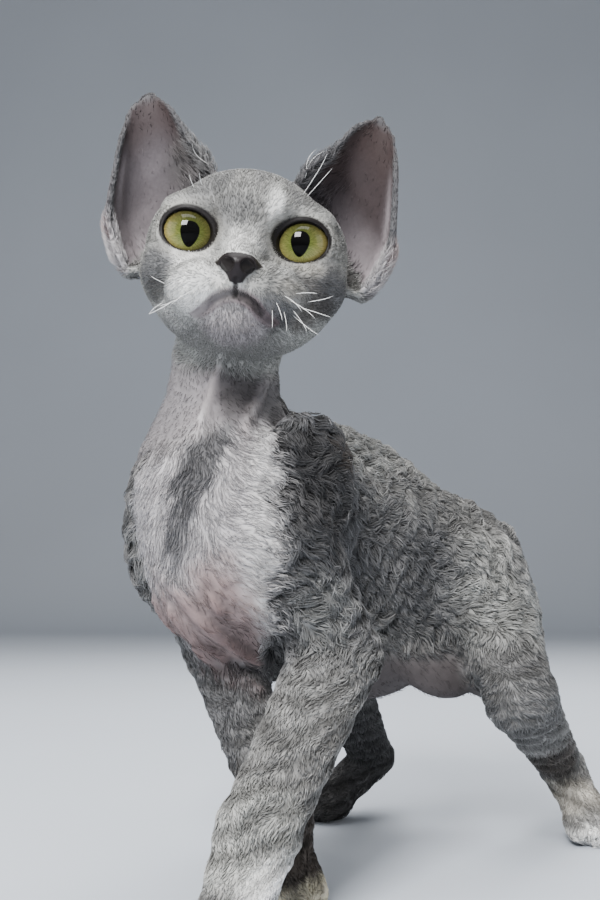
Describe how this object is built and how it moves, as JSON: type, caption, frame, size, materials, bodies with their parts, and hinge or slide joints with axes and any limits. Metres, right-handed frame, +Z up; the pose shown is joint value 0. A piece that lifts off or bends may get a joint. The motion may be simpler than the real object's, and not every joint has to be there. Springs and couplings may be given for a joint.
{
  "type": "devon rex kitten",
  "caption": "Devon Rex kitten, still and life-size, standing in mid-step with its head turned and raised, large cupped ears, wavy short coat and long thin tail.",
  "frame": {"origin": "middle of the bounding box, on the floor the paws stand on", "axes": "+Z up, -Y towards the chest and head end, +X the animal's left"},
  "size_m": [0.1804, 0.2906, 0.263],
  "materials": {
    "coat": "short wavy fur",
    "ear_skin": "thin skin with sparse fur",
    "eye": "wet and clear",
    "nose_leather": "damp matt"
  },
  "bodies": {
    "root": {"ear_left": "ear_skin", "ear_right": "ear_skin", "eye_left": "eye", "eye_right": "eye", "front_left_lower_leg": "coat", "front_left_paw": "coat", "front_left_upper_leg": "coat", "front_right_lower_leg": "coat", "front_right_paw": "coat", "front_right_upper_leg": "coat", "head": "coat", "hind_left_lower_leg": "coat", "hind_left_paw": "coat", "hind_left_upper_leg": "coat", "hind_right_lower_leg": "coat", "hind_right_paw": "coat", "hind_right_upper_leg": "coat", "neck": "coat", "nose": "nose_leather", "tail_base": "coat", "tail_middle": "coat", "tail_tip": "coat", "torso": "coat"}
  },
  "joints": []
}
